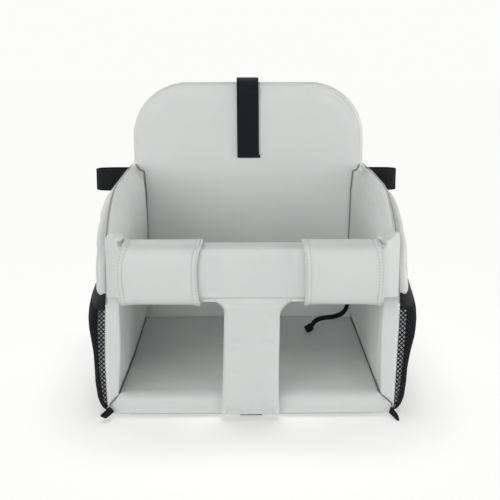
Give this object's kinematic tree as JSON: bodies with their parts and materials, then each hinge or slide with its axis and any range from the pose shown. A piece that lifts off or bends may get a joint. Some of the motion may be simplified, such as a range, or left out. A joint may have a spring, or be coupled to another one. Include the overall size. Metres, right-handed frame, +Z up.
{
  "type": "chair booster seat",
  "caption": "Padded booster seat for a dining chair: folding side pads, tall back, soft front guard with crotch pad, net pockets and webbing straps.",
  "frame": {"origin": "middle of the underside, where the non-slip mat lies on the chair or table", "axes": "+Z up, the child faces -Y, +X to the right as seen from the front"},
  "size_m": [0.4178, 0.4063, 0.3583],
  "materials": {
    "coated_fabric": "light grey coated fabric, soft matt with fine grain",
    "foam": "open-cell foam",
    "stiffener_board": "moulded board",
    "grip_mat": "dotted non-slip fabric",
    "webbing": "black woven polyester webbing",
    "pocket_net": "black knitted net",
    "pocket_band": "black woven binding",
    "hook_tape": "hook and loop tape",
    "black_plastic": "moulded acetal"
  },
  "bodies": {
    "seat": {"base_mat": "grip_mat", "base_strap": "webbing", "seat_cover": "coated_fabric", "seat_board": "stiffener_board", "seat_foam": "foam", "corner_tab_left": "webbing", "corner_tab_right": "webbing", "tether_tail": "webbing", "tether_tail_end": "webbing"},
    "back": {"back_cover": "coated_fabric", "back_foam": "foam", "back_board": "stiffener_board", "top_strap": "webbing", "chair_belt_left": "webbing", "chair_belt_right": "webbing", "buckle_socket": "black_plastic"},
    "belt_slider_body": {"belt_slider": "black_plastic"},
    "strap_slider_body": {"strap_slider": "black_plastic"},
    "buckle_plug_body": {"buckle_plug": "black_plastic"},
    "guard": {"bar_cover": "coated_fabric", "bar_foam": "foam", "bar_board": "stiffener_board", "crotch_cover": "coated_fabric", "crotch_foam": "foam", "end_tab_left": "coated_fabric", "cuff_base_left": "coated_fabric", "loop_patch_left": "hook_tape", "end_tab_right": "coated_fabric", "cuff_base_right": "coated_fabric", "loop_patch_right": "hook_tape"},
    "side_left": {"side_cover_left": "coated_fabric", "side_foam_left": "foam", "side_board_left": "stiffener_board", "wing_pad_left": "coated_fabric", "pocket_net_left": "pocket_net", "pocket_band_left": "pocket_band"},
    "flap_left": {"cuff_flap_left": "coated_fabric", "hook_patch_left": "hook_tape"},
    "side_right": {"side_cover_right": "coated_fabric", "side_foam_right": "foam", "side_board_right": "stiffener_board", "wing_pad_right": "coated_fabric", "pocket_net_right": "pocket_net", "pocket_band_right": "pocket_band"},
    "flap_right": {"cuff_flap_right": "coated_fabric", "hook_patch_right": "hook_tape"}
  },
  "joints": [
    {"name": "back_recline", "type": "hinge", "parent": "seat", "child": "back", "pos_m": [0, 0.17062, 0.0015], "axis": [-1, 0, 0], "range_deg": [0, 20]},
    {"name": "guard_fold", "type": "hinge", "parent": "seat", "child": "guard", "pos_m": [0, -0.1689, 0.006], "axis": [1, 0, 0], "range_deg": [0, 80]},
    {"name": "flap_left_open", "type": "hinge", "parent": "guard", "child": "flap_left", "pos_m": [-0.09925, -0.1922, 0.20365], "axis": [-1, 0, 0], "range_deg": [0, 100]},
    {"name": "flap_right_open", "type": "hinge", "parent": "guard", "child": "flap_right", "pos_m": [0.09925, -0.1922, 0.20365], "axis": [-1, 0, 0], "range_deg": [0, 100]},
    {"name": "side_left_fold", "type": "hinge", "parent": "seat", "child": "side_left", "pos_m": [-0.145, 0, 0.026], "axis": [0, 1, 0], "range_deg": [0, 84]},
    {"name": "side_right_fold", "type": "hinge", "parent": "seat", "child": "side_right", "pos_m": [0.145, 0, 0.026], "axis": [0, -1, 0], "range_deg": [0, 62], "deforming": ["tether_tail"]},
    {"name": "buckle_release", "type": "slide", "parent": "back", "child": "buckle_plug_body", "axis": [1, 0, 0], "range_m": [0, 0.024], "deforming": ["chair_belt_right"]},
    {"name": "belt_slide", "type": "slide", "parent": "back", "child": "belt_slider_body", "axis": [1, 0, 0], "range_m": [-0.018, 0.05]},
    {"name": "strap_slide", "type": "slide", "parent": "back", "child": "strap_slider_body", "axis": [0, 0, 1], "range_m": [-0.045, 0.03]}
  ]
}
